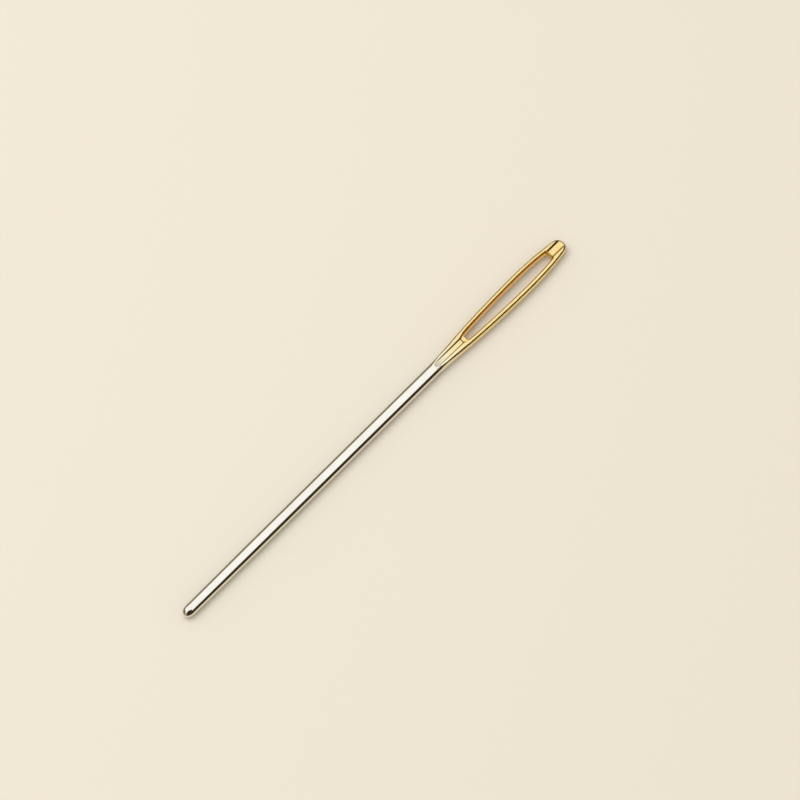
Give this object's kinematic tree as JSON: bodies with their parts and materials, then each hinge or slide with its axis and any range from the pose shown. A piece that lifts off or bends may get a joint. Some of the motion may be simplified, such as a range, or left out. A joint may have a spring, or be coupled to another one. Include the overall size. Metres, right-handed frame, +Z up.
{
  "type": "yarn needle",
  "caption": "Blunt straight sewing needle for yarn: a slim round shank that flattens into a long open eye with stamped gutters and a rounded head.",
  "frame": {"origin": "below the middle of the needle's length, on the surface that the shank lies on", "axes": "+X along the needle from the blunt point to the head, +Z up through the open eye"},
  "size_m": [0.07, 0.003, 0.0016],
  "materials": {
    "nickel_plate": "polished nickel plate over steel",
    "gold_plate": "polished thin gold plate over steel"
  },
  "bodies": {
    "root": {"nickel_plated_shank": "nickel_plate", "gold_plated_eye": "gold_plate"}
  },
  "joints": []
}
